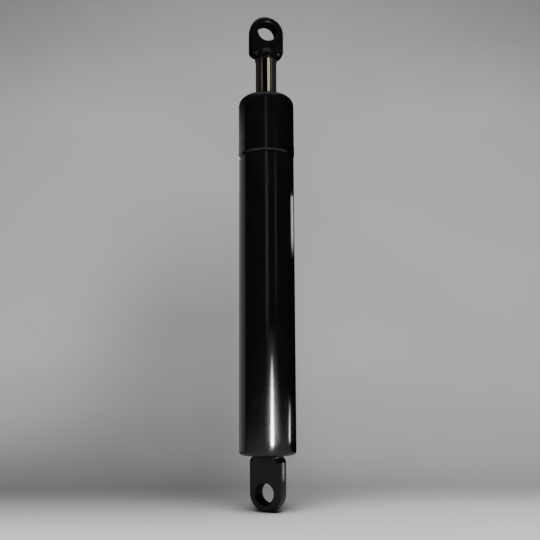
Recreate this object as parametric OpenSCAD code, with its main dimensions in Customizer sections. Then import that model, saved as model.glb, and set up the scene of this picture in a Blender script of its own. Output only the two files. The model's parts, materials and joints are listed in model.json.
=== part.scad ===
// Two-stage telescopic hydraulic cylinder, standing retracted on its base eye.
// Origin: centre of the base eye's pin hole. +Z runs along the cylinder, +Y along that pin.

/* [Eyes] */
// Diameter of both pin holes, for a 20 mm pin
pin_hole_d = 20.2; // [20.1:0.1:21]
// Width of an eye across its flat
eye_w = 36; // [34:0.5:38]
// Thickness of an eye along its pin
eye_t = 14.5; // [13:0.5:16]
// Distance between the two pin holes, retracted
closed_length = 480; // [478:1:484]
// Turn of the rod eye about the cylinder from the base eye
rod_eye_turn = 45; // [0:1:180]

/* [Barrel] */
// Outer diameter of the barrel
barrel_od = 57; // [56:0.5:58]
// Bore of the barrel
barrel_bore_d = 50; // [49:0.5:50.5]
// Height of the barrel's bottom face above the base pin
barrel_bottom_z = 36; // [35:0.5:37]
// Height of the barrel's rim, where the stage cap rests
barrel_rim_z = 341; // [341:0.5:345]
// Height of the supply port
port_z = 62; // [61.5:0.5:63]
// Wall diameter of the G1/4 port thread
port_thread_d = 11.44; // [11.4:0.02:11.6]

/* [Stages] */
// Outer diameter of the first stage tube
stage_od = 40; // [39.5:0.1:40.2]
// Bore of the first stage tube
stage_bore_d = 32; // [31.5:0.1:32.5]
// Outer diameter of the black cap on the first stage
cap_od = 57.8; // [57:0.2:60]
// Height of the cap's flat top
cap_top_z = 406; // [404:1:410]
// Diameter of the chromed rod
rod_d = 22; // [21.5:0.1:22.2]
// Travel of each stage
stroke = 215; // [180:1:216]

/* [Hidden] */
$fn = 96;

cut = 0.5;             // how far a cutting solid runs past a face
running_gap = 0.05;    // radial gap of a guide band on what slides in it
seal_gap = 0.3;        // radial gap of a relaxed seal lip on what slides in it
stop_gap = 0.2;        // gap left between two stops at full travel

barrel_r = barrel_od / 2;
barrel_bore_r = barrel_bore_d / 2;
stage_r = stage_od / 2;
stage_bore_r = stage_bore_d / 2;
cap_r = cap_od / 2;
rod_r = rod_d / 2;
pin_hole_r = pin_hole_d / 2;

// Eyes
eye_edge = 2.5;        // chamfer round an eye's outline
hole_edge = 0.8;       // chamfer at each mouth of a pin hole
eye_corner_r = 8.5;    // rounding of an eye's two shoulders
base_eye_length = barrel_bottom_z;
rod_eye_length = 27.5; // pin hole to the eye's shoulder
base_neck_r = 12;
rod_neck_r = 11.75;
rod_neck_length = 3;
neck_overlap = 1.5;    // the ball that blends a neck into its plate starts this far past the shoulder
base_stub_r = 11;
base_stub_length = 10;
rod_stub_r = 5;
rod_stub_length = 14;
rod_shoulder_z = closed_length - rod_eye_length - rod_neck_length;

// Barrel
base_cap_flat_r = 16;  // flat middle of the bottom, where the eye is welded
base_cap_slope = 5;    // rise of the cone from the flat to the rounded edge
base_cap_edge_r = 3.8;
base_cap_joint_z = barrel_bottom_z + 11.5;
base_cap_top_z = base_cap_joint_z + 5;
rim_chamfer = 1.5;
rim_slot_w = 4;
rim_slot_depth = 2.4;
rim_slot_turn = -52.5;
port_boss_r = 10;
port_boss_out = 7;     // how far the boss stands out of the barrel
port_face_y = barrel_r + port_boss_out;
port_chamfer = 1.2;
port_drill_y = 20;     // starts the port's cutting solid inside the bore

// First stage, from its foot to its cap
foot_bottom_z = base_cap_top_z + 17;
foot_length = 22;
foot_top_z = foot_bottom_z + foot_length;
foot_r = barrel_bore_r - 0.4;
foot_band_z = foot_bottom_z + 6;
foot_band_length = 10;
foot_band_r = barrel_bore_r - 2.3;
stop_ring_length = 4;
stop_ring_bore_r = 11.5;
tube_top_z = barrel_rim_z + 24;
cap_rim_r = cap_r + 0.25;
cap_rim_chamfer = 2;
cap_rim_height = 12;
cap_shoulder_r = 8.5;

// Barrel gland and what it holds
gland_bottom_z = foot_top_z + stroke + stop_gap;
gland_top_z = barrel_rim_z - 5;
gland_bore_r = stage_r + seal_gap;
gland_band_z = gland_bottom_z + 1.5;
gland_band_length = 8.5;
gland_band_r = stage_r + 2.2;
gland_o_ring_z = gland_band_z + gland_band_length + 1.3;
o_ring_w = 3;
o_ring_depth = 2.2;
gland_seal_z = gland_o_ring_z + o_ring_w + 1.5;
gland_seal_length = 6;
gland_seal_r = stage_r + 3.6;
gland_wiper_z = gland_top_z - 4.5;
wiper_lip = 1.5;       // how far a wiper stands out of its groove
retaining_ring_t = 2;
retaining_ring_r = barrel_bore_r + 1.3;
retaining_ring_bore_r = barrel_bore_r - 1.2;

// Seals in the cap
cap_bore_r = rod_r + seal_gap;
cap_band_z = tube_top_z + 4;
cap_band_length = 10;
cap_band_r = rod_r + 2;
cap_seal_z = cap_band_z + cap_band_length + 4;
cap_seal_length = 7;
cap_seal_r = rod_r + 4;
cap_wiper_z = cap_top_z - 6;
cap_wiper_r = rod_r + 4.4;
cap_o_ring_z = tube_top_z - 7;
lock_screw_z = barrel_rim_z + 10;
lock_screw_r = 2.5;
lock_screw_turn = 121.5;
lock_screw_hex_r = 1.45;
lock_screw_length = 7;
lock_screw_sink = 1;   // how deep the screw sits under the cap's face

// Rod and piston
piston_bottom_z = foot_bottom_z + stop_ring_length;
piston_length = 28;
piston_top_z = piston_bottom_z + piston_length;
piston_r = stage_bore_r - 0.4;
piston_web_z = piston_bottom_z + 11;
nut_pocket_r = 14.2;
nut_height = 9;
nut_corner_r = 13.85;
spigot_r = 8;
piston_seal_z = piston_web_z + 2;
piston_seal_length = 5;
piston_seal_root_r = stage_bore_r - 3.8;
piston_band_z = piston_seal_z + piston_seal_length + 2;
piston_band_length = 6.5;
piston_band_root_r = stage_bore_r - 2.4;
stop_tube_r = 14;
stop_tube_top_z = tube_top_z - stroke - stop_gap;

// Ring about +Z between two heights
module ring(outer_r, inner_r, low_z, high_z) {
    difference() {
        translate([0, 0, low_z]) cylinder(h = high_z - low_z, r = outer_r);
        translate([0, 0, low_z - cut]) cylinder(h = high_z - low_z + 2 * cut, r = inner_r);
    }
}

// Disc about the pin with chamfered edges
module eye_disc(r) {
    half_t = eye_t / 2;
    rotate([90, 0, 0])
        rotate_extrude()
            polygon([
                [0, -half_t], [r - eye_edge, -half_t], [r, eye_edge - half_t],
                [r, half_t - eye_edge], [r - eye_edge, half_t], [0, half_t]
            ]);
}

// Section of the plate across its width, chamfered along both sides
module eye_section(w) {
    half_w = w / 2;
    half_t = eye_t / 2;
    polygon([
        [-half_w, eye_edge - half_t], [eye_edge - half_w, -half_t],
        [half_w - eye_edge, -half_t], [half_w, eye_edge - half_t],
        [half_w, half_t - eye_edge], [half_w - eye_edge, half_t],
        [eye_edge - half_w, half_t], [-half_w, half_t - eye_edge]
    ]);
}

// Flat plate with a round end about the pin and two rounded shoulders at its length
module eye_plate(length) {
    corner_x = eye_w / 2 - eye_corner_r;
    corner_z = length - eye_corner_r;
    eye_disc(eye_w / 2);
    linear_extrude(corner_z) eye_section(eye_w);
    for (side = [-1, 1])
        translate([side * corner_x, 0, corner_z]) eye_disc(eye_corner_r);
    translate([-corner_x, 0, 0])
        rotate([90, 0, 90])
            linear_extrude(2 * corner_x)
                polygon([
                    [-eye_t / 2, 0], [eye_t / 2, 0], [eye_t / 2, length - eye_edge],
                    [eye_t / 2 - eye_edge, length], [eye_edge - eye_t / 2, length],
                    [-eye_t / 2, length - eye_edge]
                ]);
}

// Round neck that dies into the plate as a ball, up to a flat end
module eye_neck(length, neck_r, end_z) {
    intersection() {
        translate([0, 0, length + neck_overlap]) sphere(r = neck_r);
        translate([-neck_r, -neck_r, 0]) cube([2 * neck_r, 2 * neck_r, end_z]);
    }
}

// Pin hole with chamfered mouths
module pin_hole() {
    half_t = eye_t / 2;
    rotate([90, 0, 0])
        translate([0, 0, -half_t - cut]) cylinder(h = eye_t + 2 * cut, r = pin_hole_r);
    for (side = [0, 1])
        mirror([0, side, 0])
            translate([0, half_t - hole_edge, 0])
                rotate([-90, 0, 0])
                    cylinder(h = 2 * hole_edge, r1 = pin_hole_r, r2 = pin_hole_r + 2 * hole_edge);
}

module base_eye() {
    color("#141414")
        difference() {
            union() {
                eye_plate(base_eye_length);
                eye_neck(base_eye_length, base_neck_r, base_eye_length);
                translate([0, 0, base_eye_length - cut])
                    cylinder(h = base_stub_length + cut, r = base_stub_r);
            }
            pin_hole();
        }
}

module base_cap() {
    edge_x = barrel_r - base_cap_edge_r;
    cone_end_x = edge_x + base_cap_edge_r * sin(base_cap_slope);
    cone_end_z = barrel_bottom_z + (cone_end_x - base_cap_flat_r) * tan(base_cap_slope);
    edge_z = cone_end_z + base_cap_edge_r * cos(base_cap_slope);
    color("#161616")
        difference() {
            rotate_extrude()
                union() {
                    polygon([
                        [0, barrel_bottom_z], [base_cap_flat_r, barrel_bottom_z],
                        [cone_end_x, cone_end_z], [edge_x, edge_z], [barrel_r, edge_z],
                        [barrel_r, base_cap_joint_z], [barrel_bore_r, base_cap_joint_z],
                        [barrel_bore_r, base_cap_top_z], [0, base_cap_top_z]
                    ]);
                    intersection() {
                        translate([edge_x, edge_z]) circle(r = base_cap_edge_r);
                        translate([edge_x, edge_z - base_cap_edge_r])
                            square([base_cap_edge_r, base_cap_edge_r]);
                    }
                }
            translate([0, 0, barrel_bottom_z - cut])
                cylinder(h = base_stub_length + cut, r = base_stub_r);
        }
}

// Radial cylinder along +Y at the port's height
module port_cylinder(from_y, to_y, r) {
    translate([0, from_y, port_z]) rotate([-90, 0, 0]) cylinder(h = to_y - from_y, r = r);
}

module barrel_tube() {
    color("#161616")
        difference() {
            rotate_extrude()
                polygon([
                    [barrel_bore_r, base_cap_joint_z], [barrel_r, base_cap_joint_z],
                    [barrel_r, barrel_rim_z - rim_chamfer], [barrel_r - rim_chamfer, barrel_rim_z],
                    [barrel_bore_r, barrel_rim_z], [barrel_bore_r, gland_top_z + retaining_ring_t],
                    [retaining_ring_r, gland_top_z + retaining_ring_t],
                    [retaining_ring_r, gland_top_z], [barrel_bore_r, gland_top_z]
                ]);
            port_cylinder(port_drill_y, port_face_y, port_boss_r);
            rotate([0, 0, rim_slot_turn])
                translate([barrel_r - rim_slot_depth, -rim_slot_w / 2, barrel_rim_z - rim_slot_depth])
                    cube([2 * rim_slot_depth, rim_slot_w, 2 * rim_slot_depth]);
        }
}

module base_eye_weld() {
    leg = 4;
    color("#1d1d1d")
        difference() {
            translate([0, 0, barrel_bottom_z - leg])
                cylinder(h = leg, r1 = base_neck_r - 1, r2 = base_neck_r + leg);
            eye_plate(base_eye_length);
            eye_neck(base_eye_length, base_neck_r, base_eye_length);
            cylinder(h = barrel_bottom_z + cut, r = base_stub_r);
        }
}

module port_boss() {
    color("#161616")
        difference() {
            port_cylinder(port_drill_y, port_face_y, port_boss_r);
            translate([0, 0, port_z - 2 * port_boss_r])
                cylinder(h = 4 * port_boss_r, r = barrel_bore_r);
            port_cylinder(0, port_face_y + cut, port_thread_d / 2);
            translate([0, port_face_y - port_chamfer, port_z])
                rotate([-90, 0, 0])
                    cylinder(h = 2 * port_chamfer, r1 = port_thread_d / 2,
                             r2 = port_thread_d / 2 + 2 * port_chamfer);
        }
}

module port_weld() {
    weld_out_y = barrel_r + 2.5;
    weld_in_y = barrel_r - 4.5;
    weld_foot_r = port_boss_r + 4.2;
    color("#1d1d1d")
        difference() {
            translate([0, weld_in_y, port_z])
                rotate([-90, 0, 0])
                    cylinder(h = weld_out_y - weld_in_y, r1 = weld_foot_r, r2 = port_boss_r + 0.6);
            translate([0, 0, port_z - 2 * weld_foot_r])
                cylinder(h = 4 * weld_foot_r, r = barrel_r);
            port_cylinder(port_drill_y, port_face_y, port_boss_r);
        }
}

module barrel_gland() {
    color("#8c8f92")
        difference() {
            ring(barrel_bore_r, gland_bore_r, gland_bottom_z, gland_top_z);
            ring(gland_band_r, stage_r - cut, gland_band_z, gland_band_z + gland_band_length);
            ring(gland_seal_r, stage_r - cut, gland_seal_z, gland_seal_z + gland_seal_length);
            ring(gland_seal_r, stage_r - cut, gland_wiper_z, gland_top_z + cut);
            ring(barrel_bore_r + cut, barrel_bore_r - o_ring_depth, gland_o_ring_z,
                 gland_o_ring_z + o_ring_w);
        }
}

module gland_o_ring() {
    color("#101010")
        ring(barrel_bore_r, barrel_bore_r - o_ring_depth, gland_o_ring_z, gland_o_ring_z + o_ring_w);
}

module gland_guide_band() {
    color("#b7a277")
        ring(gland_band_r, stage_r + running_gap, gland_band_z, gland_band_z + gland_band_length);
}

// U-cup seal about +Z: a ring with a groove in its pressure face, which looks down
module lip_seal(outer_r, inner_r, low_z, length) {
    wall = (outer_r - inner_r) / 3;
    difference() {
        ring(outer_r, inner_r, low_z, low_z + length);
        ring(outer_r - wall, inner_r + wall, low_z - cut, low_z + length / 2);
    }
}

// Wiper about +Z: a ring in its groove with a lip that stands up beside the sliding part
module lip_wiper(outer_r, inner_r, low_z, top_z) {
    lip_t = 1.2;
    rotate_extrude()
        polygon([
            [inner_r, low_z], [outer_r, low_z], [outer_r, top_z],
            [inner_r + 2 * lip_t, top_z], [inner_r + lip_t, top_z + wiper_lip],
            [inner_r, top_z + wiper_lip]
        ]);
}

module gland_seal() {
    color("#6f1d1a")
        lip_seal(gland_seal_r, gland_bore_r, gland_seal_z, gland_seal_length);
}

module gland_wiper() {
    color("#101010")
        lip_wiper(gland_seal_r, gland_bore_r, gland_wiper_z, gland_top_z);
}

// Open retaining ring with its gap at the rim's slot
module gland_retaining_ring() {
    gap_w = 5;
    color("#9a9da0")
        difference() {
            ring(retaining_ring_r, retaining_ring_bore_r, gland_top_z,
                 gland_top_z + retaining_ring_t);
            rotate([0, 0, rim_slot_turn])
                translate([0, -gap_w / 2, gland_top_z - cut])
                    cube([retaining_ring_r + cut, gap_w, retaining_ring_t + 2 * cut]);
        }
}

module stage_1_guide_band() {
    color("#b7a277")
        ring(barrel_bore_r - running_gap, foot_band_r + running_gap,
             foot_band_z + stop_gap, foot_band_z + foot_band_length - stop_gap);
}

module stage_1_tube() {
    color("#c9cbcd") ring(stage_r, stage_bore_r, foot_bottom_z, tube_top_z);
}

module stage_1_foot() {
    foot_chamfer = 1.5;
    color("#8c8f92")
        rotate_extrude()
            polygon([
                [stage_r, foot_bottom_z], [foot_r - foot_chamfer, foot_bottom_z],
                [foot_r, foot_bottom_z + foot_chamfer], [foot_r, foot_band_z],
                [foot_band_r, foot_band_z], [foot_band_r, foot_band_z + foot_band_length],
                [foot_r, foot_band_z + foot_band_length], [foot_r, foot_top_z],
                [stage_r, foot_top_z]
            ]);
}

module stage_1_stop_ring() {
    color("#9a9da0")
        ring(stage_bore_r, stop_ring_bore_r, foot_bottom_z, foot_bottom_z + stop_ring_length);
}

// Outline of the cap's outside, from its rim's chamfer to its rounded shoulder
module cap_outline() {
    shoulder_x = cap_r - cap_shoulder_r;
    shoulder_z = cap_top_z - cap_shoulder_r;
    rim_top_z = barrel_rim_z + cap_rim_height;
    polygon([
        [0, barrel_rim_z], [cap_rim_r - cap_rim_chamfer, barrel_rim_z],
        [cap_rim_r, barrel_rim_z + cap_rim_chamfer], [cap_rim_r, rim_top_z],
        [cap_r, rim_top_z + 1], [cap_r, shoulder_z], [0, shoulder_z]
    ]);
    translate([0, shoulder_z]) square([shoulder_x, cap_shoulder_r]);
    intersection() {
        translate([shoulder_x, shoulder_z]) circle(r = cap_shoulder_r);
        translate([shoulder_x, shoulder_z]) square([cap_shoulder_r, cap_shoulder_r]);
    }
}

// Radial hole for the grub screw that locks the cap to the tube
module lock_screw_place(from_r) {
    rotate([0, 0, lock_screw_turn])
        translate([from_r, 0, lock_screw_z]) rotate([0, 90, 0]) children();
}

module stage_1_cap() {
    mouth_edge = 1;
    color("#161616")
        difference() {
            rotate_extrude() cap_outline();
            translate([0, 0, barrel_rim_z - cut])
                cylinder(h = tube_top_z - barrel_rim_z + cut, r = stage_r);
            cylinder(h = cap_top_z + cut, r = cap_bore_r);
            ring(cap_band_r, rod_r - cut, cap_band_z, cap_band_z + cap_band_length);
            ring(cap_seal_r, rod_r - cut, cap_seal_z, cap_seal_z + cap_seal_length);
            ring(cap_wiper_r, rod_r - cut, cap_wiper_z, cap_top_z + cut);
            ring(stage_r + o_ring_depth, stage_r - cut, cap_o_ring_z, cap_o_ring_z + o_ring_w);
            translate([0, 0, cap_top_z - mouth_edge])
                cylinder(h = 2 * mouth_edge, r1 = cap_wiper_r, r2 = cap_wiper_r + 2 * mouth_edge);
            lock_screw_place(stage_r - cut) cylinder(h = 2 * lock_screw_length, r = lock_screw_r);
        }
}

module cap_o_ring() {
    color("#101010")
        ring(stage_r + o_ring_depth, stage_r, cap_o_ring_z, cap_o_ring_z + o_ring_w);
}

module cap_guide_band() {
    color("#b7a277")
        ring(cap_band_r, rod_r + running_gap, cap_band_z, cap_band_z + cap_band_length);
}

module cap_seal() {
    color("#6f1d1a") lip_seal(cap_seal_r, cap_bore_r, cap_seal_z, cap_seal_length);
}

module cap_wiper() {
    color("#101010") lip_wiper(cap_wiper_r, cap_bore_r, cap_wiper_z, cap_top_z);
}

module cap_lock_screw() {
    socket_depth = 3;
    screw_r = cap_rim_r - lock_screw_sink - lock_screw_length;
    color("#2a2a2a")
        lock_screw_place(screw_r)
            difference() {
                cylinder(h = lock_screw_length, r = lock_screw_r);
                translate([0, 0, lock_screw_length - socket_depth])
                    cylinder(h = socket_depth + cut, r = lock_screw_hex_r, $fn = 6);
            }
}

module piston_guide_band() {
    color("#b7a277")
        ring(stage_bore_r - running_gap, piston_band_root_r + running_gap,
             piston_band_z + stop_gap, piston_band_z + piston_band_length - stop_gap);
}

module rod() {
    edge = 1;
    color("#d9dadb")
        rotate_extrude()
            polygon([
                [0, piston_bottom_z + 1], [spigot_r - edge, piston_bottom_z + 1],
                [spigot_r, piston_bottom_z + 1 + edge], [spigot_r, piston_top_z],
                [rod_r, piston_top_z], [rod_r, rod_shoulder_z], [rod_stub_r, rod_shoulder_z],
                [rod_stub_r, rod_shoulder_z + rod_stub_length],
                [0, rod_shoulder_z + rod_stub_length]
            ]);
}

module piston() {
    color("#8c8f92")
        difference() {
            ring(piston_r, spigot_r, piston_bottom_z, piston_top_z);
            ring(nut_pocket_r, spigot_r - cut, piston_bottom_z - cut, piston_web_z);
            ring(stage_bore_r, piston_seal_root_r, piston_seal_z,
                 piston_seal_z + piston_seal_length);
            ring(stage_bore_r, piston_band_root_r, piston_band_z,
                 piston_band_z + piston_band_length);
        }
}

module piston_nut() {
    color("#9a9da0")
        translate([0, 0, piston_web_z - nut_height])
            difference() {
                cylinder(h = nut_height, r = nut_corner_r, $fn = 6);
                translate([0, 0, -cut]) cylinder(h = nut_height + 2 * cut, r = spigot_r);
            }
}

module piston_seal() {
    color("#6f1d1a")
        ring(stage_bore_r - seal_gap, piston_seal_root_r, piston_seal_z,
             piston_seal_z + piston_seal_length);
}

module stop_tube() {
    color("#8c8f92") ring(stop_tube_r, rod_r, piston_top_z, stop_tube_top_z);
}

// Places what is drawn up from a pin hole so that it hangs from the rod eye's hole
module at_rod_eye() {
    translate([0, 0, closed_length]) rotate([0, 0, rod_eye_turn]) mirror([0, 0, 1]) children();
}

module rod_eye() {
    end_z = rod_eye_length + rod_neck_length;
    color("#141414")
        at_rod_eye()
            difference() {
                union() {
                    eye_plate(rod_eye_length);
                    eye_neck(rod_eye_length, rod_neck_r, rod_eye_length + neck_overlap);
                    translate([0, 0, rod_eye_length])
                        cylinder(h = rod_neck_length, r = rod_neck_r);
                }
                pin_hole();
                translate([0, 0, end_z - rod_stub_length])
                    cylinder(h = rod_stub_length + cut, r = rod_stub_r);
            }
}

module rod_eye_weld() {
    bead = 1.2;
    color("#1d1d1d")
        rotate_extrude()
            polygon([
                [rod_r, rod_shoulder_z - bead], [rod_neck_r, rod_shoulder_z - bead / 2],
                [rod_neck_r, rod_shoulder_z], [rod_r, rod_shoulder_z]
            ]);
}

base_eye();
base_cap();
barrel_tube();
base_eye_weld();
port_boss();
port_weld();
barrel_gland();
gland_o_ring();
gland_guide_band();
gland_seal();
gland_wiper();
gland_retaining_ring();
stage_1_guide_band();
stage_1_tube();
stage_1_foot();
stage_1_stop_ring();
stage_1_cap();
cap_o_ring();
cap_guide_band();
cap_seal();
cap_wiper();
cap_lock_screw();
piston_guide_band();
rod();
piston();
piston_nut();
piston_seal();
stop_tube();
rod_eye();
rod_eye_weld();
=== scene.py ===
import json
import math

import bpy
import numpy as np
from mathutils import Matrix, Vector

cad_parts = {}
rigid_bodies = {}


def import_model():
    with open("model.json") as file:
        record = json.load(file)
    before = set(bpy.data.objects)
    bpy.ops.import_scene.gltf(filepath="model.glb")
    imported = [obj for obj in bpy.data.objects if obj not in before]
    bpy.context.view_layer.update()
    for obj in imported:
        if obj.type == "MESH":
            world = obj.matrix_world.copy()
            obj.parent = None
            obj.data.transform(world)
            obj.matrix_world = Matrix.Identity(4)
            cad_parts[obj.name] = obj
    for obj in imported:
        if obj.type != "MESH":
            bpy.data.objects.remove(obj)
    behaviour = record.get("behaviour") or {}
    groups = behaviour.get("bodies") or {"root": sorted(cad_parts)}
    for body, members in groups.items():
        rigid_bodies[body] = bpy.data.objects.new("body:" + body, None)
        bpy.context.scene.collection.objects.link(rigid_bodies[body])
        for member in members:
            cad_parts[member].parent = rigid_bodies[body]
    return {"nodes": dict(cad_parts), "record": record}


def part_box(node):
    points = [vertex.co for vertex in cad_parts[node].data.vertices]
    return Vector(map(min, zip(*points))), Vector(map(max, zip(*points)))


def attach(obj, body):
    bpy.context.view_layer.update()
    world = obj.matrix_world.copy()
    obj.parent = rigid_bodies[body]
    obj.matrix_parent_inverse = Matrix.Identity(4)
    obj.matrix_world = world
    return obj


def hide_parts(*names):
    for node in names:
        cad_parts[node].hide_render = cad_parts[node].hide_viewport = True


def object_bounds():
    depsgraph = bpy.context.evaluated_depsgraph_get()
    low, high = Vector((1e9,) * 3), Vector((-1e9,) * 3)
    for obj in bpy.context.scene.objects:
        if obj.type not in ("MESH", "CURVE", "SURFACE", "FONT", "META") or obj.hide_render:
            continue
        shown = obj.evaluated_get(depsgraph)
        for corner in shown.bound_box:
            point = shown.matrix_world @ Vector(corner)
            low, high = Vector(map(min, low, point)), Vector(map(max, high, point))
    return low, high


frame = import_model()
cad_low, cad_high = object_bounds()

MM = 0.001

# ---------------------------------------------------------------- frame sizes
# Lengths here are in millimetres, as in the CAD.

mounts = {mount["name"]: mount for mount in frame["record"]["mounts"]}
base_pin, rod_pin = mounts["base_pin_bore"], mounts["rod_pin_bore"]
port = mounts["supply_port"]

PIN_HOLE_R = base_pin["dims"]["r_mm"]
HOLE_EDGE = 0.8                       # chamfer at each mouth of a pin hole
EYE_T = base_pin["dims"]["length_mm"] + 2 * HOLE_EDGE
EYE_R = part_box("base_eye")[1].x / MM
EYE_CORNER_R = 6.5                    # the two shoulders beside an eye's neck
EYE_EDGE_R = 3.0                      # the forging's rounded edge

BARREL_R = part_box("barrel_tube")[1].x / MM
BARREL_BORE_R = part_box("barrel_gland")[1].x / MM
BARREL_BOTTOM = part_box("base_cap")[0].z / MM
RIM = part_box("stage_1_cap")[0].z / MM
ROD_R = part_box("rod")[1].x / MM
FLOOR = cad_low.z / MM

ROD_PIN_Z = rod_pin["pos_m"][2] / MM
ROD_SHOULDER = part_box("rod_eye")[0].z / MM
ROD_NECK_LENGTH = 3.0
ROD_EYE_TURN = math.atan2(-rod_pin["axis"][0], rod_pin["axis"][1])
BASE_NECK_R = 12.0
BASE_NECK_REACH = 5.0                 # how far the base eye's neck swells down its plate
ROD_NECK_R = 11.75

PORT_Z = port["pos_m"][2] / MM
PORT_R = port["dims"]["r_mm"]
PORT_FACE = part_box("port_boss")[1].y / MM
PORT_BOSS_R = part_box("port_boss")[1].x / MM

# ------------------------------------------------------------------ materials


class Nodes:
    """A material's node tree, with short calls to add and join nodes."""

    def __init__(self, name):
        self.material = bpy.data.materials.new(name)
        self.material.use_nodes = True
        self.tree = self.material.node_tree
        self.shader = self.tree.nodes["Principled BSDF"]
        self.coords = self.add("ShaderNodeTexCoord").outputs["Object"]

    def add(self, kind, **values):
        node = self.tree.nodes.new(kind)
        for key, value in values.items():
            setattr(node, key, value)
        return node

    def join(self, out, into):
        self.tree.links.new(out, into)

    def feed(self, out, *sockets):
        """Join an output to the shader's own sockets."""
        for name in sockets:
            self.join(out, self.shader.inputs[name])

    def noise(self, scale, detail=2.0, roughness=0.5, stretch=None):
        node = self.add("ShaderNodeTexNoise")
        node.inputs["Scale"].default_value = scale
        node.inputs["Detail"].default_value = detail
        node.inputs["Roughness"].default_value = roughness
        source = self.coords
        if stretch:
            mapping = self.add("ShaderNodeMapping")
            mapping.inputs["Scale"].default_value = stretch
            self.join(source, mapping.inputs["Vector"])
            source = mapping.outputs["Vector"]
        self.join(source, node.inputs["Vector"])
        return node.outputs["Fac"]

    def ramp(self, value, low, high, to_low=0.0, to_high=1.0, smooth=False):
        node = self.add("ShaderNodeMapRange")
        if smooth:
            node.interpolation_type = "SMOOTHSTEP"
        node.inputs["From Min"].default_value = low
        node.inputs["From Max"].default_value = high
        node.inputs["To Min"].default_value = to_low
        node.inputs["To Max"].default_value = to_high
        self.join(value, node.inputs["Value"])
        return node.outputs["Result"]

    def math(self, operation, a, b):
        node = self.add("ShaderNodeMath", operation=operation)
        for value, socket in zip((a, b), node.inputs):
            if isinstance(value, (int, float)):
                socket.default_value = value
            else:
                self.join(value, socket)
        return node.outputs[0]

    def mix(self, factor, a, b):
        node = self.add("ShaderNodeMix", data_type="RGBA")
        self.join(factor, node.inputs["Factor"])
        for value, socket in zip((a, b), (node.inputs[6], node.inputs[7])):
            if isinstance(value, tuple):
                socket.default_value = (*value, 1.0)
            else:
                self.join(value, socket)
        return node.outputs[2]

    def stops(self, value, stops):
        """Greys along a value from 0 to 1: stops are (position, grey)."""
        node = self.add("ShaderNodeValToRGB")
        ramp = node.color_ramp
        while len(ramp.elements) < len(stops):
            ramp.elements.new(0.5)
        for element, (position, grey) in zip(ramp.elements, stops):
            element.position = position
            element.color = (grey, grey, grey, 1.0)
        self.join(value, node.inputs["Fac"])
        return node.outputs["Color"]

    def stored(self, name):
        return self.add("ShaderNodeAttribute", attribute_name=name).outputs["Fac"]

    def bump(self, height, distance, strength=1.0, normal=None):
        node = self.add("ShaderNodeBump")
        node.inputs["Distance"].default_value = distance
        node.inputs["Strength"].default_value = strength
        self.join(height, node.inputs["Height"])
        if normal is not None:
            self.join(normal, node.inputs["Normal"])
        return node.outputs["Normal"]

    def set(self, **values):
        for name, value in values.items():
            self.shader.inputs[name.replace("_", " ")].default_value = value

    def glow(self, colour=(1, 1, 1)):
        """Make the material a clear sheet of light, and return its strength socket."""
        self.tree.nodes.remove(self.shader)
        light = self.add("ShaderNodeEmission")
        light.inputs["Color"].default_value = (*colour, 1)
        both = self.add("ShaderNodeAddShader")
        self.join(light.outputs[0], both.inputs[0])
        self.join(self.add("ShaderNodeBsdfTransparent").outputs[0], both.inputs[1])
        self.join(both.outputs[0], self.tree.nodes["Material Output"].inputs["Surface"])
        return light.inputs["Strength"]


def gloss_black_paint(name, specular, coat):
    """Thick sprayed enamel: orange peel, faint dust and hairline rubs."""
    n = Nodes(name)
    n.set(IOR=1.5, Specular_IOR_Level=specular, Coat_Weight=coat, Coat_Roughness=0.03)
    peel = n.noise(420, detail=2.5, roughness=0.45)
    wave = n.noise(60, detail=1.0)
    relief = n.bump(wave, 0.0004, 0.10)
    relief = n.bump(peel, 0.00012, 0.18, relief)
    n.feed(relief, "Normal", "Coat Normal")
    dust = n.ramp(n.noise(2600, detail=3.0, roughness=0.7), 0.62, 0.8)
    patch = n.ramp(n.noise(38, detail=4.0, roughness=0.6), 0.35, 0.75)
    tint = n.mix(patch, (0.0035, 0.0035, 0.0040), (0.0060, 0.0057, 0.0055))
    speckle = n.math("MULTIPLY", dust, 0.3)
    n.feed(n.mix(speckle, tint, (0.05, 0.049, 0.046)), "Base Color")
    rub = n.noise(90, detail=5.0, roughness=0.7, stretch=(1.0, 1.0, 0.06))
    rough = n.math("ADD", n.ramp(rub, 0.3, 0.8, 0.13, 0.22), n.ramp(patch, 0, 1, 0.0, 0.04))
    n.feed(rough, "Roughness")
    return n.material


def painted_weld():
    """The same enamel over weld ripples, a little thinner and rougher on the crests."""
    n = Nodes("painted_weld")
    n.set(IOR=1.5, Specular_IOR_Level=0.14, Coat_Weight=0.12, Coat_Roughness=0.05)
    grain = n.noise(700, detail=3.0, roughness=0.6)
    relief = n.bump(grain, 0.0002, 0.4)
    n.feed(relief, "Normal", "Coat Normal")
    mottle = n.ramp(n.noise(300, detail=3.0), 0.4, 0.7)
    n.feed(n.mix(mottle, (0.004, 0.004, 0.0045), (0.010, 0.0095, 0.009)), "Base Color")
    n.feed(n.ramp(grain, 0.3, 0.7, 0.2, 0.34), "Roughness")
    return n.material


def thin_overspray():
    """Dry black overspray inside a pin hole, over the reamed bore."""
    n = Nodes("thin_overspray")
    n.set(IOR=1.45, Specular_IOR_Level=0.15)
    grain = n.noise(1500, detail=3.0, roughness=0.7)
    n.feed(n.bump(grain, 0.00008, 0.5), "Normal")
    worn = n.ramp(n.noise(260, detail=4.0, roughness=0.65), 0.4, 0.75)
    n.feed(n.mix(worn, (0.004, 0.004, 0.004), (0.011, 0.0105, 0.010)), "Base Color")
    n.feed(n.ramp(grain, 0.3, 0.7, 0.5, 0.7), "Roughness")
    return n.material


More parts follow.
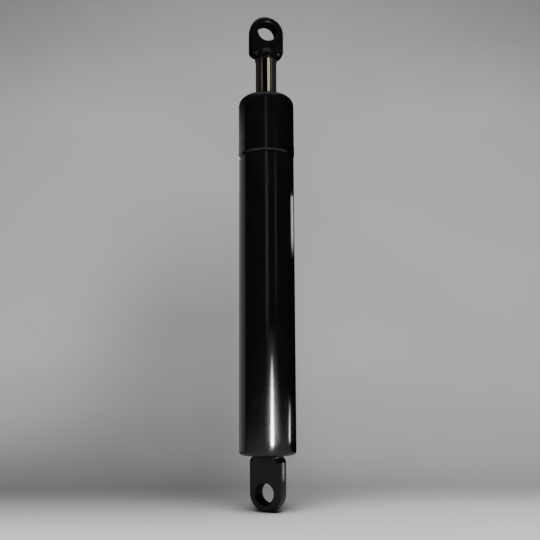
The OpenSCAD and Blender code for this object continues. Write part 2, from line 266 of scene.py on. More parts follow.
def hard_chrome():
    """Polished hard chrome: faint rings from grinding and rubs along the stroke."""
    n = Nodes("hard_chrome")
    n.set(Metallic=1.0)
    rings = n.noise(60, detail=4.0, roughness=0.65, stretch=(0.3, 0.3, 60.0))
    rubs = n.noise(700, detail=4.0, roughness=0.6, stretch=(1.0, 1.0, 0.02))
    n.feed(n.mix(n.ramp(rubs, 0.35, 0.7), (0.55, 0.54, 0.52), (0.64, 0.62, 0.59)), "Base Color")
    rough = n.math("ADD", n.ramp(rings, 0.3, 0.7, 0.04, 0.09), n.ramp(rubs, 0.4, 0.8, 0.0, 0.05))
    n.feed(rough, "Roughness")
    n.feed(n.bump(rings, 0.00002, 0.2), "Normal")
    return n.material


def turned_steel(name, light, dark, rough_low, rough_high):
    """Bare steel with fine turning rings about +Z and a thin oil film."""
    n = Nodes(name)
    n.set(Metallic=1.0)
    rings = n.noise(90, detail=5.0, roughness=0.7, stretch=(0.2, 0.2, 40.0))
    stain = n.noise(140, detail=4.0, roughness=0.6)
    n.feed(n.mix(n.ramp(stain, 0.35, 0.7), light, dark), "Base Color")
    n.feed(n.ramp(rings, 0.25, 0.75, rough_low, rough_high), "Roughness")
    n.feed(n.bump(rings, 0.00006, 0.4), "Normal")
    return n.material


def moulded(name, light, dark, rough_low, rough_high, grain_scale):
    """Rubber or plastic with a moulded skin and a little oil."""
    n = Nodes(name)
    n.set(IOR=1.48)
    grain = n.noise(grain_scale, detail=4.0, roughness=0.6)
    bloom = n.noise(180, detail=3.0)
    n.feed(n.mix(n.ramp(bloom, 0.35, 0.7), light, dark), "Base Color")
    n.feed(n.ramp(grain, 0.3, 0.7, rough_low, rough_high), "Roughness")
    n.feed(n.bump(grain, 0.00005, 0.5), "Normal")
    return n.material


MATERIALS = {
    "gloss_black_paint": gloss_black_paint("gloss_black_paint", 0.32, 0.14),
    "painted_weld": painted_weld(),
    "hard_chrome": hard_chrome(),
    "ground_tube": turned_steel("ground_tube", (0.6, 0.6, 0.6), (0.52, 0.52, 0.51), 0.08, 0.2),
    "machined_steel": turned_steel("machined_steel", (0.42, 0.43, 0.44), (0.33, 0.33, 0.33), 0.22, 0.42),
    "spring_steel": turned_steel("spring_steel", (0.4, 0.41, 0.42), (0.28, 0.28, 0.3), 0.2, 0.36),
    "black_oxide_steel": turned_steel(
        "black_oxide_steel", (0.05, 0.05, 0.055), (0.03, 0.03, 0.03), 0.25, 0.45),
    "black_rubber": moulded(
        "black_rubber", (0.016, 0.016, 0.016), (0.028, 0.027, 0.026), 0.35, 0.55, 1400),
    "seal_polyurethane": moulded(
        "seal_polyurethane", (0.2, 0.03, 0.022), (0.14, 0.02, 0.016), 0.25, 0.4, 900),
    "guide_plastic": moulded("guide_plastic", (0.42, 0.34, 0.2), (0.33, 0.26, 0.15), 0.4, 0.6, 1100),
}

FORGED_PAINT = gloss_black_paint("forged_black_paint", 0.16, 0.09)
THIN_OVERSPRAY = thin_overspray()

for part in frame["record"]["subparts"]:
    mesh = frame["nodes"][part["node"]].data
    mesh.materials.clear()
    mesh.materials.append(MATERIALS[part["material_slot"]])

# ------------------------------------------------------------- making of meshes


def add_piece(name, points, faces, body, slot, replaced, normals=None):
    """A shown piece from points in millimetres, riding on a body in place of CAD nodes."""
    mesh = bpy.data.meshes.new(name)
    mesh.from_pydata((np.asarray(points) * MM).tolist(), [], [list(map(int, face)) for face in faces])
    mesh.polygons.foreach_set("use_smooth", [True] * len(mesh.polygons))
    if normals is not None:
        mesh.normals_split_custom_set_from_vertices(np.asarray(normals).tolist())
    mesh.materials.append(MATERIALS[slot])
    piece = bpy.data.objects.new(name, mesh)
    bpy.context.collection.objects.link(piece)
    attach(piece, body)
    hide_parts(*replaced)
    return piece


SLOPE_REACH = 0.05                    # how far to each side a field's slope is measured
SETTLE_ROUNDS = 4                     # times that a surface is pulled onto its level, evened out in between
LEAST_SLOPE_SQUARED = 0.25            # so that no point is flung away where the field is flat


def gradient(field, points):
    """The field's slope at each point, by differences."""
    steps = np.eye(3) * SLOPE_REACH
    return np.stack([(field(points + s) - field(points - s)) / (2 * SLOPE_REACH) for s in steps], axis=-1)


def mesh_from_field(field, low, high, step):
    """Surface nets: points, quads and normals of the level field(points) = 0, inside below 0."""
    low = np.array(low, float)
    count = np.ceil((np.array(high) - low) / step).astype(int) + 1
    axes = [low[i] + step * np.arange(count[i]) for i in range(3)]
    value = field(np.stack(np.meshgrid(*axes, indexing="ij"), axis=-1))
    inside = value < 0

    corners = np.array([(i, j, k) for i in (0, 1) for j in (0, 1) for k in (0, 1)])
    cells = count - 1

    def at_corner(grid, corner):
        i, j, k = corner
        return grid[i:i + cells[0], j:j + cells[1], k:k + cells[2]]

    filled = sum(at_corner(inside, corner).astype(int) for corner in corners)
    crossed = (filled > 0) & (filled < 8)
    where = np.argwhere(crossed)
    index = np.full(cells, -1)
    index[crossed] = np.arange(len(where))

    total, hits = np.zeros((len(where), 3)), np.zeros((len(where), 1))
    for a in corners:
        for b in corners:
            if (b - a).min() < 0 or (b - a).sum() != 1:
                continue
            va, vb = value[tuple((where + a).T)], value[tuple((where + b).T)]
            cuts = (va < 0) != (vb < 0)
            share = np.where(cuts, va / np.where(cuts, va - vb, 1), 0)
            total += (a + share[:, None] * (b - a)) * cuts[:, None]
            hits += cuts[:, None]
    points = low + step * (where + total / hits)

    faces = []
    for axis in range(3):
        u, v = np.eye(3, dtype=int)[(axis + 1) % 3], np.eye(3, dtype=int)[(axis + 2) % 3]
        here = inside.take(range(count[axis] - 1), axis)
        ahead = inside.take(range(1, count[axis]), axis)
        edge = np.argwhere(here != ahead)
        quad = np.stack([index[tuple((edge - u - v).T)], index[tuple((edge - v).T)],
                         index[tuple(edge.T)], index[tuple((edge - u).T)]], axis=1)
        outward = inside[tuple(edge.T)]
        quad[~outward] = quad[~outward][:, ::-1]
        faces.append(quad)
    faces = np.concatenate(faces)

    for settle in range(SETTLE_ROUNDS):
        if settle:
            centre = points[faces].mean(axis=1)
            total, hits = np.zeros_like(points), np.zeros(len(points))
            for corner in range(4):
                np.add.at(total, faces[:, corner], centre)
                np.add.at(hits, faces[:, corner], 1)
            points = total / hits[:, None]
        for _ in range(2):
            slope = gradient(field, points)
            size = np.maximum((slope ** 2).sum(axis=-1), LEAST_SLOPE_SQUARED)
            points = points - (field(points) / size)[:, None] * slope
    normals = gradient(field, points)
    return points, faces, normals / np.linalg.norm(normals, axis=-1, keepdims=True)


def soft_min(a, b, reach):
    """The smaller of two distances, with their meeting line filleted over the reach."""
    share = np.clip(0.5 + 0.5 * (b - a) / reach, 0, 1)
    return b + (a - b) * share - reach * share * (1 - share)


def soft_max(a, b, reach):
    """The larger of two distances, with their meeting line rounded off over the reach."""
    return -soft_min(-a, -b, reach)


def rounded(a, b, r):
    """Distance to the corner that two half spaces make, rounded to radius r."""
    a, b = a + r, b + r
    return np.minimum(np.maximum(a, b), 0) + np.hypot(np.maximum(a, 0), np.maximum(b, 0)) - r


# -------------------------------------------------------------------- pin eyes

PAINT_EDGE = 0.35                     # paint rounds every machined edge by about this
FORGE_BLEND = 2.6                     # fillet between a forging's neck and its plate
EYE_GRID = 0.55
EYE_CROWN = 0.3                       # draft of the forging's rim towards both faces
NECK_ROUND_START = 1.5                # how far above the plate the neck starts to close in
END_ROUNDING = 1.5                    # growth of the edge's radius towards the end, per end_crown
BORE_MARGIN = 0.3                     # how far past the pin hole's wall its overspray reaches
STUB_STEP = 1.2                       # how much slimmer than its neck the base eye's stub is
STUB_GAP = 0.2                        # how far below the CAD's top the stub ends
STUB_OVERLAP = 1                      # how far down into the neck the stub reaches


def eye_field(length, neck_r, neck_reach, neck_end, end_crown, stub_r=0.0, stub_end=0.0):
    """Distance field of a forged eye: pin along Y, plate up to its length, round neck above.

    neck_reach is how far the neck swells down the plate's faces, and end_crown is extra draft
    towards the plate's round end. stub_r and stub_end are those of a plain stub above the neck."""
    middle, half = (length - EYE_R) / 2, (length + EYE_R) / 2

    def field(p):
        x, y, z = np.abs(p[..., 0]), np.abs(p[..., 1]), p[..., 2]
        corner = np.where(z > middle, EYE_CORNER_R, EYE_R)
        a, b = x - EYE_R + corner, np.abs(z - middle) - half + corner
        outline = np.minimum(np.maximum(a, b), 0) + np.hypot(np.maximum(a, 0), np.maximum(b, 0)) - corner
        toward_end = np.clip(-z / EYE_R, 0, 1)
        crown = EYE_CROWN + end_crown * toward_end
        outline = outline + crown * (2 * y / EYE_T) ** 2
        plate = rounded(outline, y - EYE_T / 2, EYE_EDGE_R + END_ROUNDING * end_crown * toward_end)
        from_axis = np.hypot(p[..., 0], p[..., 1])
        below = np.minimum(z - length - NECK_ROUND_START, 0) * neck_r / neck_reach
        ball = np.hypot(from_axis, below) - neck_r
        shape = soft_max(soft_min(plate, ball, FORGE_BLEND), z - neck_end, PAINT_EDGE)
        if stub_r:
            stub = np.maximum(np.maximum(z - stub_end, neck_end - STUB_OVERLAP - z), from_axis - stub_r)
            shape = np.minimum(shape, stub)
        from_pin = np.hypot(p[..., 0], z)
        mouth = (from_pin - PIN_HOLE_R - y + EYE_T / 2 - HOLE_EDGE) / math.sqrt(2)
        hole = soft_min(from_pin - PIN_HOLE_R, mouth, PAINT_EDGE)
        return soft_max(shape, -hole, 2 * PAINT_EDGE)

    return field


def forged_eye(name, body, node, field, top, pose):
    """One eye meshed from its field up to its top, and moved to its pose."""
    margin = 1.2
    low = (-EYE_R - margin, -BASE_NECK_R - margin, -EYE_R - margin)
    high = (EYE_R + margin, BASE_NECK_R + margin, top + margin)
    points, faces, normals = mesh_from_field(field, low, high, EYE_GRID)
    turn = np.array(pose.to_3x3())
    shift = np.array(pose.to_translation())
    placed = points @ turn.T + shift
    piece = add_piece(name, placed, faces, body, "gloss_black_paint", [node], normals @ turn.T)
    piece.data.materials[0] = FORGED_PAINT
    piece.data.materials.append(THIN_OVERSPRAY)
    middle = points[faces].mean(axis=1)
    from_pin = np.hypot(middle[:, 0], middle[:, 2])
    in_bore = (from_pin < PIN_HOLE_R + BORE_MARGIN) & (np.abs(middle[:, 1]) < EYE_T / 2)
    piece.data.polygons.foreach_set("material_index", in_bore.astype(int))


base_stub_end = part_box("base_eye")[1].z / MM
base_field = eye_field(BARREL_BOTTOM, BASE_NECK_R, BASE_NECK_REACH, BARREL_BOTTOM, 0.0,
                       BASE_NECK_R - STUB_STEP, base_stub_end - STUB_GAP)
forged_eye("base_eye_forging", "barrel", "base_eye", base_field, base_stub_end, Matrix())

rod_neck_end = ROD_PIN_Z - ROD_SHOULDER
rod_field = eye_field(rod_neck_end - ROD_NECK_LENGTH, ROD_NECK_R, ROD_NECK_R, rod_neck_end, 1.0)
upside_down = Matrix.Rotation(math.pi, 4, "X")
hang = Matrix.Translation((0, 0, ROD_PIN_Z)) @ Matrix.Rotation(ROD_EYE_TURN, 4, "Z") @ upside_down
forged_eye("rod_eye_forging", "rod", "rod_eye", rod_field, rod_neck_end, hang)

# ----------------------------------------------------------------------- welds

BEAD_FILL = 0.88                      # share of a bead's legs that its mean surface reaches
BEAD_BULGE = 0.16                     # how much fuller than that it is in its middle
BEAD_ROOT = 0.5                       # how deep its closed back lies under the joint's corner
RIPPLE_STEPS = 10                     # points along each ripple


def weld_bead(name, body, node, point_at, legs, ripples, lift=0.16, lag=0.35):
    """Fillet bead laid round a joint, from one piece's wall to the other's.

    point_at(angle, out, up) gives a point. legs are the bead's two sizes, lift is its ripples'
    height and lag is how far their middle is from their ends, in ripples."""
    steps_round = ripples * RIPPLE_STEPS
    arc = np.radians(np.linspace(-9, 99, 15))
    rows = []
    for angle in np.linspace(0, 2 * math.pi, steps_round, endpoint=False):
        phase = ripples * angle / (2 * math.pi) - lag * np.cos(2 * arc - math.pi / 2)
        crest = np.abs(np.sin(math.pi * phase)) ** 0.6
        wander = 0.03 * math.sin(3 * angle + 0.7) + 0.025 * math.sin(7 * angle + 2.1)
        bulge = 1 + wander + BEAD_BULGE * np.sin(2 * np.clip(arc, 0, math.pi / 2))
        ripple = lift * (crest - 0.5)
        out = legs[0] * BEAD_FILL * bulge * np.cos(arc) + ripple * np.cos(arc)
        up = legs[1] * BEAD_FILL * bulge * np.sin(arc) + ripple * np.sin(arc)
        row = [point_at(angle, a, b) for a, b in zip(out, up)]
        row.append(point_at(angle, -BEAD_ROOT, -BEAD_ROOT))
        rows.append(row)
    across = len(rows[0])
    points = np.array(rows).reshape(-1, 3)
    faces = [(i * across + j, i * across + (j + 1) % across,
              (i + 1) % steps_round * across + (j + 1) % across, (i + 1) % steps_round * across + j)
             for i in range(steps_round) for j in range(across)]
    add_piece(name, points, outward(points, faces), body, "painted_weld", [node])


def outward(points, faces):
    """The faces of a closed mesh, turned over if they enclose a negative volume."""
    a, b, c, d = (points[[face[k] for face in faces]] for k in range(4))
    volume = (a * np.cross(b, c)).sum() + (a * np.cross(c, d)).sum()
    return faces if volume > 0 else [face[::-1] for face in faces]


def under_barrel(angle, out, down):
    r = BASE_NECK_R + out
    return r * math.cos(angle), r * math.sin(angle), BARREL_BOTTOM - down


def round_rod(angle, out, down):
    r = ROD_R + out
    return r * math.cos(angle), r * math.sin(angle), ROD_SHOULDER - down


def round_port(angle, out, up):
    r = PORT_BOSS_R + out
    x = r * math.cos(angle)
    return x, math.sqrt(BARREL_R ** 2 - x ** 2) + up, PORT_Z + r * math.sin(angle)


weld_bead("base_eye_weld_bead", "barrel", "base_eye_weld", under_barrel, (4.0, 3.6), 38)
weld_bead("rod_eye_weld_bead", "rod", "rod_eye_weld", round_rod, (0.9, 1.3), 34, lift=0.08)
weld_bead("port_weld_bead", "barrel", "port_weld", round_port, (4.0, 2.8), 34)

# ----------------------------------------------------------------- supply port

PITCH = 1.337                         # G1/4 pipe thread
THREAD_DEPTH = 0.856
PORT_CHAMFER = 1.2
PORT_EDGE_R = 0.8
STEPS_PER_TURN = 14                   # rows of points along one turn of the thread
PAINTED_RIM = 0.1                     # of the port's chamfer, at its outer edge


def threaded_boss(name, body, node):
    """Boss turned about +Y with a right-hand thread, its foot cut to the barrel's bore."""
    around = 144
    angle = np.linspace(0, 2 * math.pi, around, endpoint=False)
    corner = np.radians(np.linspace(0, 90, 7))
    corner_r = PORT_BOSS_R - PORT_EDGE_R + PORT_EDGE_R * np.cos(corner)
    corner_y = PORT_FACE - PORT_EDGE_R + PORT_EDGE_R * np.sin(corner)

    def foot(r):
        return np.sqrt(BARREL_BORE_R ** 2 - (r * np.cos(angle)) ** 2)

    rows = [(np.full(around, PORT_BOSS_R), foot(PORT_BOSS_R))]
    rows += [(np.full(around, r), np.full(around, y)) for r, y in zip(corner_r, corner_y)]
    mouth_r = PORT_R + PORT_CHAMFER
    rows.append((np.full(around, mouth_r), np.full(around, PORT_FACE)))
    end = foot(PORT_R)
    turns = (PORT_FACE - end.min()) / PITCH
    steps = int(turns * STEPS_PER_TURN)
    for step in range(1, steps + 1):
        y = PORT_FACE + (end - PORT_FACE) * step / steps
        turn = (PORT_FACE - y) / PITCH - angle / (2 * math.pi)
        ridge = 1 - np.abs(2 * (turn % 1.0) - 1)
        groove = np.clip(1.35 * ridge - 0.175, 0, 1)  # flat at crest and root
        r = np.maximum(PORT_R + THREAD_DEPTH * groove, mouth_r - (PORT_FACE - y))
        rows.append((r, y))
    across, height = np.cos(angle), np.sin(angle)
    points = np.array([np.stack([r * across, y, PORT_Z + r * height], axis=1) for r, y in rows])
    count = len(rows)
    faces = [(i * around + j, i * around + (j + 1) % around,
              (i + 1) % count * around + (j + 1) % around, (i + 1) % count * around + j)
             for i in range(count) for j in range(around)]
    points = points.reshape(-1, 3)
    return add_piece(name, points, outward(points, faces), body, "gloss_black_paint", [node])


boss = threaded_boss("threaded_port_boss", "barrel", "port_boss")
boss.data.materials.append(MATERIALS["machined_steel"])
for polygon in boss.data.polygons:
    middle = polygon.center / MM
    inner = math.hypot(middle.x, middle.z - PORT_Z) < PORT_R + PORT_CHAMFER - PAINTED_RIM
    polygon.material_index = int(inner)

# ---------------------------------------------------------------------- camera
# Lengths from here on are in metres, apart from names of the CAD's sizes.

CAMERA_AZIMUTH = math.radians(30.7)
CAMERA_DISTANCE = 0.720
CAMERA_HEIGHT = 0.0974
CAMERA_SIDE = 0.003
CAMERA_PITCH = math.radians(7.9)
CAMERA_ROLL = math.radians(-0.30)
LENS_MM = 47.4
SHIFT_Y = 0.045

TO_CAMERA = Vector((math.sin(CAMERA_AZIMUTH), -math.cos(CAMERA_AZIMUTH), 0))
TO_RIGHT = Vector((math.cos(CAMERA_AZIMUTH), math.sin(CAMERA_AZIMUTH), 0))


def place(toward_camera, to_right, height):
    """A point given from the cylinder's axis, as the camera sees it, in metres."""
    return TO_CAMERA * toward_camera + TO_RIGHT * to_right + Vector((0, 0, height))


lens = bpy.data.cameras.new("camera")
lens.lens = LENS_MM
lens.shift_y = SHIFT_Y
lens.clip_start = 0.01
camera = bpy.data.objects.new("camera", lens)
bpy.context.collection.objects.link(camera)
camera.location = place(CAMERA_DISTANCE, CAMERA_SIDE, CAMERA_HEIGHT)
turn = Matrix.Rotation(CAMERA_AZIMUTH, 4, "Z")
tilt = Matrix.Rotation(math.pi / 2 + CAMERA_PITCH, 4, "X")
roll = Matrix.Rotation(CAMERA_ROLL, 4, "Z")
camera.rotation_euler = (turn @ tilt @ roll).to_euler()
bpy.context.scene.camera = camera

# ----------------------------------------------------------------------- stage

FLOOR_Z = FLOOR * MM
FLOOR_NEAR = 3.0                      # floor towards the camera
FLOOR_FAR = 0.19                      # flat floor behind the cylinder
SWEEP_R = 1.2                         # curve from the floor up into the backdrop
STAGE_HALF = 3.0
BACKDROP_TOP = 2.6


def store(mesh, **attributes):
    """Keep one number per point under each name, for the materials."""
    for name, values in attributes.items():
        mesh.attributes.new(name, "FLOAT", "POINT").data.foreach_set("value", values)


def sheet(name, outline, material):
    """Stage surface swept to both sides: outline is (toward camera, height, share along it)."""
    mesh = bpy.data.meshes.new(name)
    sides = (-STAGE_HALF, STAGE_HALF)
    points = [place(depth, side, height) for depth, height, _ in outline for side in sides]
    faces = [(2 * i, 2 * i + 1, 2 * i + 3, 2 * i + 2) for i in range(len(outline) - 1)]
    mesh.from_pydata([tuple(p) for p in points], [], faces)
    mesh.polygons.foreach_set("use_smooth", [True] * len(faces))
    store(mesh, along=[share for _, _, share in outline for _ in sides], side=sides * len(outline))
    mesh.materials.append(material)
    obj = bpy.data.objects.new(name, mesh)
    bpy.context.collection.objects.link(obj)
    return obj


def stage_paint():
    """Matt pale floor that greys towards the back and clears again up the backdrop, its greys painted shade
    and a painted glow.

    Its far ends fade out into the surroundings, and it is clear from behind or below."""
    n = Nodes("stage_paint")
    n.set(Roughness=0.9, Specular_IOR_Level=0.0)
    along, side = n.stored("along"), n.stored("side")
    # Painted light along the sweep: the floor greys towards the back into a painted dark band where it meets
    # the curve, then a painted glow lightens the backdrop, darker again at its top.
    grey = n.stops(along, [(0.0, 0.55), (0.06, 0.50), (0.10, 0.40), (0.125, 0.26), (0.15, 0.205),
                           (0.24, 0.265), (0.42, 0.35), (0.62, 0.385), (0.82, 0.41), (0.88, 0.40),
                           (0.8995, 0.388), (0.909, 0.345), (0.93, 0.28), (1.0, 0.2)])
    # Painted shadow of the cylinder on the floor's back and up the backdrop, to its left and fading out far
    # to the left.
    drop = n.stops(along, [(0.06, 0.0), (0.10, 0.38), (0.13, 0.5), (0.22, 0.46), (0.35, 0.36),
                           (0.5, 0.34), (0.6, 0.17), (0.7, 0.0)])
    clearing = n.stops(along, [(0.1, 0.05), (0.2, 0.2), (0.32, 0.8), (0.42, 1.0)])
    leftward = n.ramp(side, 0.12, -0.10, smooth=True)
    far_left = n.math("MULTIPLY", n.ramp(side, -0.2, -0.55, smooth=True), clearing)
    painted_shadow = n.math("MULTIPLY", n.math("MULTIPLY", drop, leftward), n.math("SUBTRACT", 1.0, far_left))
    uneven = n.ramp(n.noise(3.0, detail=3.0, roughness=0.6), 0.3, 0.7, 0.97, 1.03)
    # Painted light: the stage is lighter towards its outer sides, and darker there near the backdrop's top.
    outer = n.ramp(n.math("ABSOLUTE", side, 0.0), 0.1, 0.7)
    painted_side_light = n.math("ADD", 1.0, n.math("MULTIPLY", outer, n.ramp(along, 0.8, 0.92, 0.18, -0.1)))
    # Painted shade on the floor: darker towards the camera, and darker far to the left on the floor and the
    # foot of the curve.
    painted_near_shade = n.ramp(along, -0.4, 0.0, 0.7, 1.0)
    left = n.math("MAXIMUM", n.ramp(side, -0.85, -0.4, 0.45, 1.0), n.ramp(along, 0.1, 0.25))
    shade = n.add("ShaderNodeVectorMath", operation="SCALE")
    n.join(grey, shade.inputs[0])
    light = n.math("MULTIPLY", n.math("SUBTRACT", 1.0, painted_shadow), painted_side_light)
    light = n.math("MULTIPLY", n.math("MULTIPLY", light, painted_near_shade), left)
    n.join(n.math("MULTIPLY", uneven, light), shade.inputs["Scale"])
    n.feed(shade.outputs[0], "Base Color")
    gone = n.math("MAXIMUM", n.ramp(n.math("ABSOLUTE", side, 0.0), 1.0, 2.2, smooth=True),
                  n.ramp(along, -0.2, -0.75, smooth=True))
    gone = n.math("MAXIMUM", gone, n.add("ShaderNodeNewGeometry").outputs["Backfacing"])
    cut = n.add("ShaderNodeMixShader")
    n.join(gone, cut.inputs[0])
    n.join(n.shader.outputs[0], cut.inputs[1])
    n.join(n.add("ShaderNodeBsdfTransparent").outputs[0], cut.inputs[2])
    n.join(cut.outputs[0], n.tree.nodes["Material Output"].inputs["Surface"])
    return n.material


# The stage's pale paint, with painted shade, a painted glow and a painted shadow on it.
STAGE_PAINT_AND_PAINTED_LIGHT = stage_paint()
FLOOR_SHARE = 0.15                    # where the flat floor ends along the whole sweep
FLOOR_FADE = 0.5                      # how far forward of that its grey reaches
CURVE_SHARE = 0.9                     # where the curve ends along it
FLOOR_ROWS = 24
CURVE_ROWS = 48

floor_outline = [(FLOOR_NEAR, FLOOR_Z, -1.0)]
for i in range(FLOOR_ROWS + 1):
    depth = -FLOOR_FAR + FLOOR_FADE * (1 - i / FLOOR_ROWS)
    floor_outline.append((depth, FLOOR_Z, FLOOR_SHARE * i / FLOOR_ROWS))
sheet("floor", floor_outline, STAGE_PAINT_AND_PAINTED_LIGHT)

curve_outline = []
for i in range(CURVE_ROWS + 1):
    angle = math.pi / 2 * i / CURVE_ROWS
    depth = -FLOOR_FAR - SWEEP_R * math.sin(angle)
    height = FLOOR_Z + SWEEP_R * (1 - math.cos(angle))
    curve_outline.append((depth, height, FLOOR_SHARE + (CURVE_SHARE - FLOOR_SHARE) * i / CURVE_ROWS))
curve_outline.append((-FLOOR_FAR - SWEEP_R, BACKDROP_TOP, 1.0))
backdrop = sheet("backdrop", curve_outline, STAGE_PAINT_AND_PAINTED_LIGHT)
backdrop.visible_glossy = backdrop.visible_shadow = False

# ---------------------------------------------------------------------- lights


def softbox(name, position, target, width, height, power):
    """Area light aimed at a target, that is neither seen nor mirrored."""
    light = bpy.data.lights.new(name, "AREA")
    light.shape = "RECTANGLE"
    light.size, light.size_y = width, height
    light.energy = power
    obj = bpy.data.objects.new(name, light)
    bpy.context.collection.objects.link(obj)
    obj.location = position
    direction = Vector(target) - Vector(position)
    obj.rotation_euler = direction.to_track_quat("-Z", "Y").to_euler()
    obj.visible_camera = obj.visible_glossy = False


def mirrored(radius, offset, height, reach):
    """Where the camera's ray to a point on an upright cylinder goes on to, once mirrored in it.

    offset is the point's place across the cylinder, from -1 at its left edge to 1 at its right."""
    point = place(radius * math.sqrt(1 - offset ** 2), radius * offset, height)
    normal = Vector((point.x, point.y, 0)).normalized()
    ray = (point - camera.location).normalized()
    bounce = ray - 2 * ray.dot(normal) * normal
    return point + bounce * reach


LIGHT_SQUARES = 10                    # squares along each side of a light sheet


def light_sheet(name, place_at, radiance, colour=(1, 1, 1), fade=(0.3, 0.1, 0.1), pieces=()):
    """Glowing sheet that only glossy surfaces see: of the given pieces, or of all if none is given.

    place_at gives the sheet's point at (across, along), each from 0 to 1. fade is the share of its
    width over which each side softens, then of its length at each end."""
    row = LIGHT_SQUARES + 1
    grid = [(j / LIGHT_SQUARES, i / LIGHT_SQUARES) for i in range(row) for j in range(row)]
    faces = [(i * row + j, i * row + j + 1, (i + 1) * row + j + 1, (i + 1) * row + j)
             for i in range(LIGHT_SQUARES) for j in range(LIGHT_SQUARES)]
    mesh = bpy.data.meshes.new(name)
    mesh.from_pydata([tuple(place_at(u, v)) for u, v in grid], [], faces)
    store(mesh, across=[u for u, _ in grid], along=[v for _, v in grid])
    n = Nodes(name)
    strength = n.glow(colour)
    across, along = n.stored("across"), n.stored("along")
    from_side = n.math("MINIMUM", across, n.math("SUBTRACT", 1.0, across))
    sides = n.ramp(from_side, 0.0, fade[0], smooth=True)
    start = n.ramp(along, 0.0, fade[1], smooth=True)
    end = n.ramp(along, 1.0, 1.0 - fade[2], smooth=True)
    light = n.math("MULTIPLY", sides, n.math("MULTIPLY", start, end))
    n.join(n.math("MULTIPLY", light, radiance), strength)
    mesh.materials.append(n.material)
    obj = bpy.data.objects.new(name, mesh)
    bpy.context.collection.objects.link(obj)
    obj.visible_camera = obj.visible_diffuse = obj.visible_shadow = False
    obj.visible_transmission = obj.visible_volume_scatter = False
    if pieces:
        receivers = bpy.data.collections.new(name + "_receivers")
        for piece in pieces:
            receivers.objects.link(piece)
        obj.light_linking.receiver_collection = receivers


def strip(name, piece, spot, normal, half_height, half_width, reach, radiance):
    """Upright light that one piece mirrors at a spot of the given normal."""
    ray = (spot - camera.location).normalized()
    bounce = ray - 2 * ray.dot(normal) * normal
    sideways = bounce.cross(Vector((0, 0, 1))).normalized()

    def place_at(u, v):
        up = Vector((0, 0, (2 * v - 1) * half_height))
        return spot + bounce * reach + sideways * (2 * u - 1) * half_width + up

    light_sheet(name, place_at, radiance, pieces=[piece])


def card(name, seen_by, bottom, heights, reach, radiance, top=None, colour=(1, 1, 1), fade=(0.3, 0.1, 0.1)):
    """Light set where an upright cylinder mirrors it into a streak, as the camera sees it.

    seen_by is the cylinder's radius and the pieces that mirror it. bottom and top are the streak's
    left and right offsets across the cylinder, from -1 to 1, at its two heights. Without top, the
    streak is upright. Its ends are the crisper the shorter the light's reach is."""
    radius, pieces = seen_by
    top = top or bottom

    def place_at(u, v):
        height = heights[0] + (heights[1] - heights[0]) * v
        left = bottom[0] + (top[0] - bottom[0]) * v
        right = bottom[1] + (top[1] - bottom[1]) * v
        return mirrored(radius, left + (right - left) * u, height, reach)

    light_sheet(name, place_at, radiance, colour, fade, pieces)


PANEL_DISTANCE = 3.0
PANEL_FOOT = -1.7


def panel(name, azimuth, spread, top, radiance, pieces, fade=(0.5, 0.1, 0.05)):
    """Tall soft light for the other sides, that the given pieces mirror.

    azimuth is from the camera's side towards its right, and spread the width, both in degrees."""

    def place_at(u, v):
        angle = math.radians(azimuth + spread * (u - 0.5))
        height = PANEL_FOOT + (top - PANEL_FOOT) * v
        return place(PANEL_DISTANCE * math.cos(angle), PANEL_DISTANCE * math.sin(angle), height)

    light_sheet(name, place_at, radiance, fade=fade, pieces=pieces)


shown = {**frame["nodes"], **{obj.name: obj for obj in bpy.data.objects}}
BEAD_MIRROR_R = 0.0155                # of the weld under the barrel, where it glints
RIM_HEIGHT = RIM * MM

# What mirrors a light: a cylinder's radius and its pieces.
BARREL = BARREL_R * MM, [shown[name] for name in (
    "barrel_tube", "base_cap", "stage_1_cap", "port_weld_bead", "threaded_port_boss")]
TUBE = BARREL[0], [shown["barrel_tube"]]
BEAD = BEAD_MIRROR_R, [shown["base_eye_weld_bead"]]
ROD = ROD_R * MM, [shown[name] for name in ("rod", "rod_eye_weld_bead")]
STAGE_1 = [shown["stage_1_tube"]]

softbox("top_box", place(0.6, 0.0, 1.85), target=(0, 0, 0.2), width=1.3, height=0.9, power=73)

# The bright streak low on the barrel, with its halo, and the lines along its right side.
card("key_low", BARREL, (0.105, 0.22), heights=(0.0465, 0.139), reach=0.03, radiance=300,
     top=(0.14, 0.18), fade=(0.3, 0.03, 0.9))
card("key_low_glow", BARREL, (-0.10, 0.52), heights=(0.045, 0.17), reach=0.05, radiance=5.0,
     top=(0.02, 0.28), fade=(0.5, 0.08, 0.9))
card("side_low", TUBE, (0.735, 0.76), heights=(0.049, 0.094), reach=0.06, radiance=60,
     top=(0.75, 0.775), fade=(0.3, 0.1, 0.8))
card("side_high", TUBE, (0.87, 0.96), heights=(0.232, 0.298), reach=0.08, radiance=3.6, fade=(0.3, 0.4, 0.03))

# The pale band along its left side, and the faint lines up its front.
card("left_band", BARREL, (-0.995, -0.74), heights=(0.012, 0.405), reach=0.9, radiance=0.46,
     top=(-0.995, -0.75), fade=(0.15, 0.05, 0.15))
card("centre_line", BARREL, (-0.035, 0.02), heights=(0.16, 0.42), reach=1.6, radiance=1.5,
     colour=(1.0, 0.98, 0.85), fade=(0.4, 0.05, 0.05))
card("olive_line", BARREL, (0.0, 0.07), heights=(0.12, RIM_HEIGHT), reach=1.6, radiance=0.45,
     colour=(1.0, 0.9, 0.1), fade=(0.4, 0.1, 0.1))
card("right_line", BARREL, (0.30, 0.335), heights=(0.16, RIM_HEIGHT), reach=1.6, radiance=1.7,
     colour=(1.0, 1.0, 0.85), fade=(0.4, 0.4, 0.05))

# Two glints on the weld under the barrel.
card("bead_glint", BEAD, (0.585, 0.60), heights=(0.024, 0.034), reach=0.006, radiance=700)
card("bead_side_glint", BEAD, (0.78, 0.79), heights=(0.012, 0.034), reach=0.06, radiance=30)

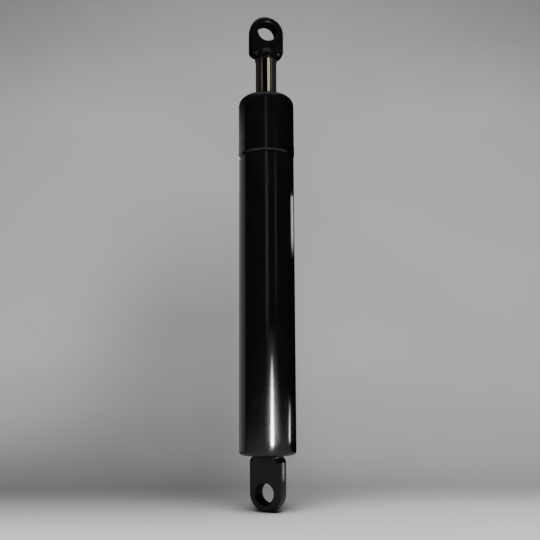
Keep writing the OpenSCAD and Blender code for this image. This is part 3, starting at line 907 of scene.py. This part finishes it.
# The stripes that the rod shows between the cap and its eye.
for name, offsets, radiance, colour, fade in (
        ("rod_stripe", (0.12, 0.39), 0.95, (1.0, 0.88, 0.64), (0.12, 0.02, 0.02)),
        ("rod_brown", (-0.54, -0.26), 0.16, (1.0, 0.82, 0.6), (0.4, 0.02, 0.5)),
        ("rod_left_glow", (-0.98, -0.58), 0.035, (1.0, 0.92, 0.8), (0.2, 0.02, 0.02)),
        ("rod_right_glow", (0.60, 0.98), 0.04, (1.0, 0.92, 0.75), (0.2, 0.02, 0.02)),
        ("rod_line", (0.50, 0.60), 0.24, (1.0, 0.96, 0.72), (0.4, 0.02, 0.02))):
    card(name, ROD, offsets, heights=(0.408, 0.46), reach=2.2, radiance=radiance, colour=colour, fade=fade)

# The bright edge of the base eye, and the glint over the rod eye's hole.
eye_side = Vector((EYE_R * MM, -0.001, 0.0225))
strip("eye_side_strip", shown["base_eye_forging"], eye_side, Vector((1, 0, 0)),
      half_height=0.0105, half_width=0.0006, reach=0.035, radiance=26)
rod_pin_centre = Vector((0, 0, ROD_PIN_Z * MM))
rod_eye_face = Vector((math.sin(ROD_EYE_TURN), -math.cos(ROD_EYE_TURN), 0))
hole_top = Vector((0, 0, (PIN_HOLE_R + HOLE_EDGE) * MM))
over_hole = rod_pin_centre + rod_eye_face * (EYE_T / 2 * MM) + hole_top
tilted = (rod_eye_face - Vector((0, 0, 0.3))).normalized()
strip("rod_eye_rim_strip", shown["rod_eye_forging"], over_hole, tilted,
      half_height=0.02, half_width=0.08, reach=0.4, radiance=80)

# Panels round the other sides. Each piece has its own, no higher than where the camera would
# start to see them mirrored along its outline.
LOW_PAINT = [shown[name] for name in ("barrel_tube", "port_weld_bead", "threaded_port_boss")]
for name, azimuth, spread, radiance in (
        ("back_strip", 171, 5, 36), ("back_glow", 180, 30, 5), ("back_edge", -168, 7, 12)):
    panel("barrel_" + name, azimuth, spread, -0.3, radiance, LOW_PAINT, fade=(0.4, 0.1, 0.3))
    panel("cap_" + name, azimuth, spread, 1.1, radiance, [shown["stage_1_cap"]], fade=(0.4, 0.1, 0.1))
for name, azimuth, spread, radiance in (
        ("round", 180, 359, 0.1), ("key", 16, 20, 1.6), ("left", -62, 50, 0.5), ("right", 55, 30, 0.5),
        ("back_right", 125, 50, 0.4), ("back_left", -130, 30, 0.7), ("back", 172, 24, 1.0)):
    panel("rod_" + name, azimuth, spread, 1.5, radiance, ROD[1])
    panel("tube_" + name, azimuth, spread, 1.1, radiance, STAGE_1)

CEILING_SIZE, CEILING_HEIGHT = 1.4, 1.8


def overhead(u, v):
    return place(CEILING_SIZE * (u - 0.5), CEILING_SIZE * (v - 0.5), CEILING_HEIGHT)


light_sheet("ceiling", overhead, 0.5)

# ---------------------------------------------------------------- surroundings
# Seen by the camera only, beyond where the stage fades out.

SURROUNDING_GREY = 0.42
world = bpy.data.worlds.new("studio")
bpy.context.scene.world = world
world.use_nodes = True
background = world.node_tree.nodes["Background"]
background.inputs["Color"].default_value = (SURROUNDING_GREY, SURROUNDING_GREY, SURROUNDING_GREY, 1)
background.inputs["Strength"].default_value = 1.0
seen = world.cycles_visibility
seen.diffuse = seen.glossy = seen.transmission = seen.scatter = False
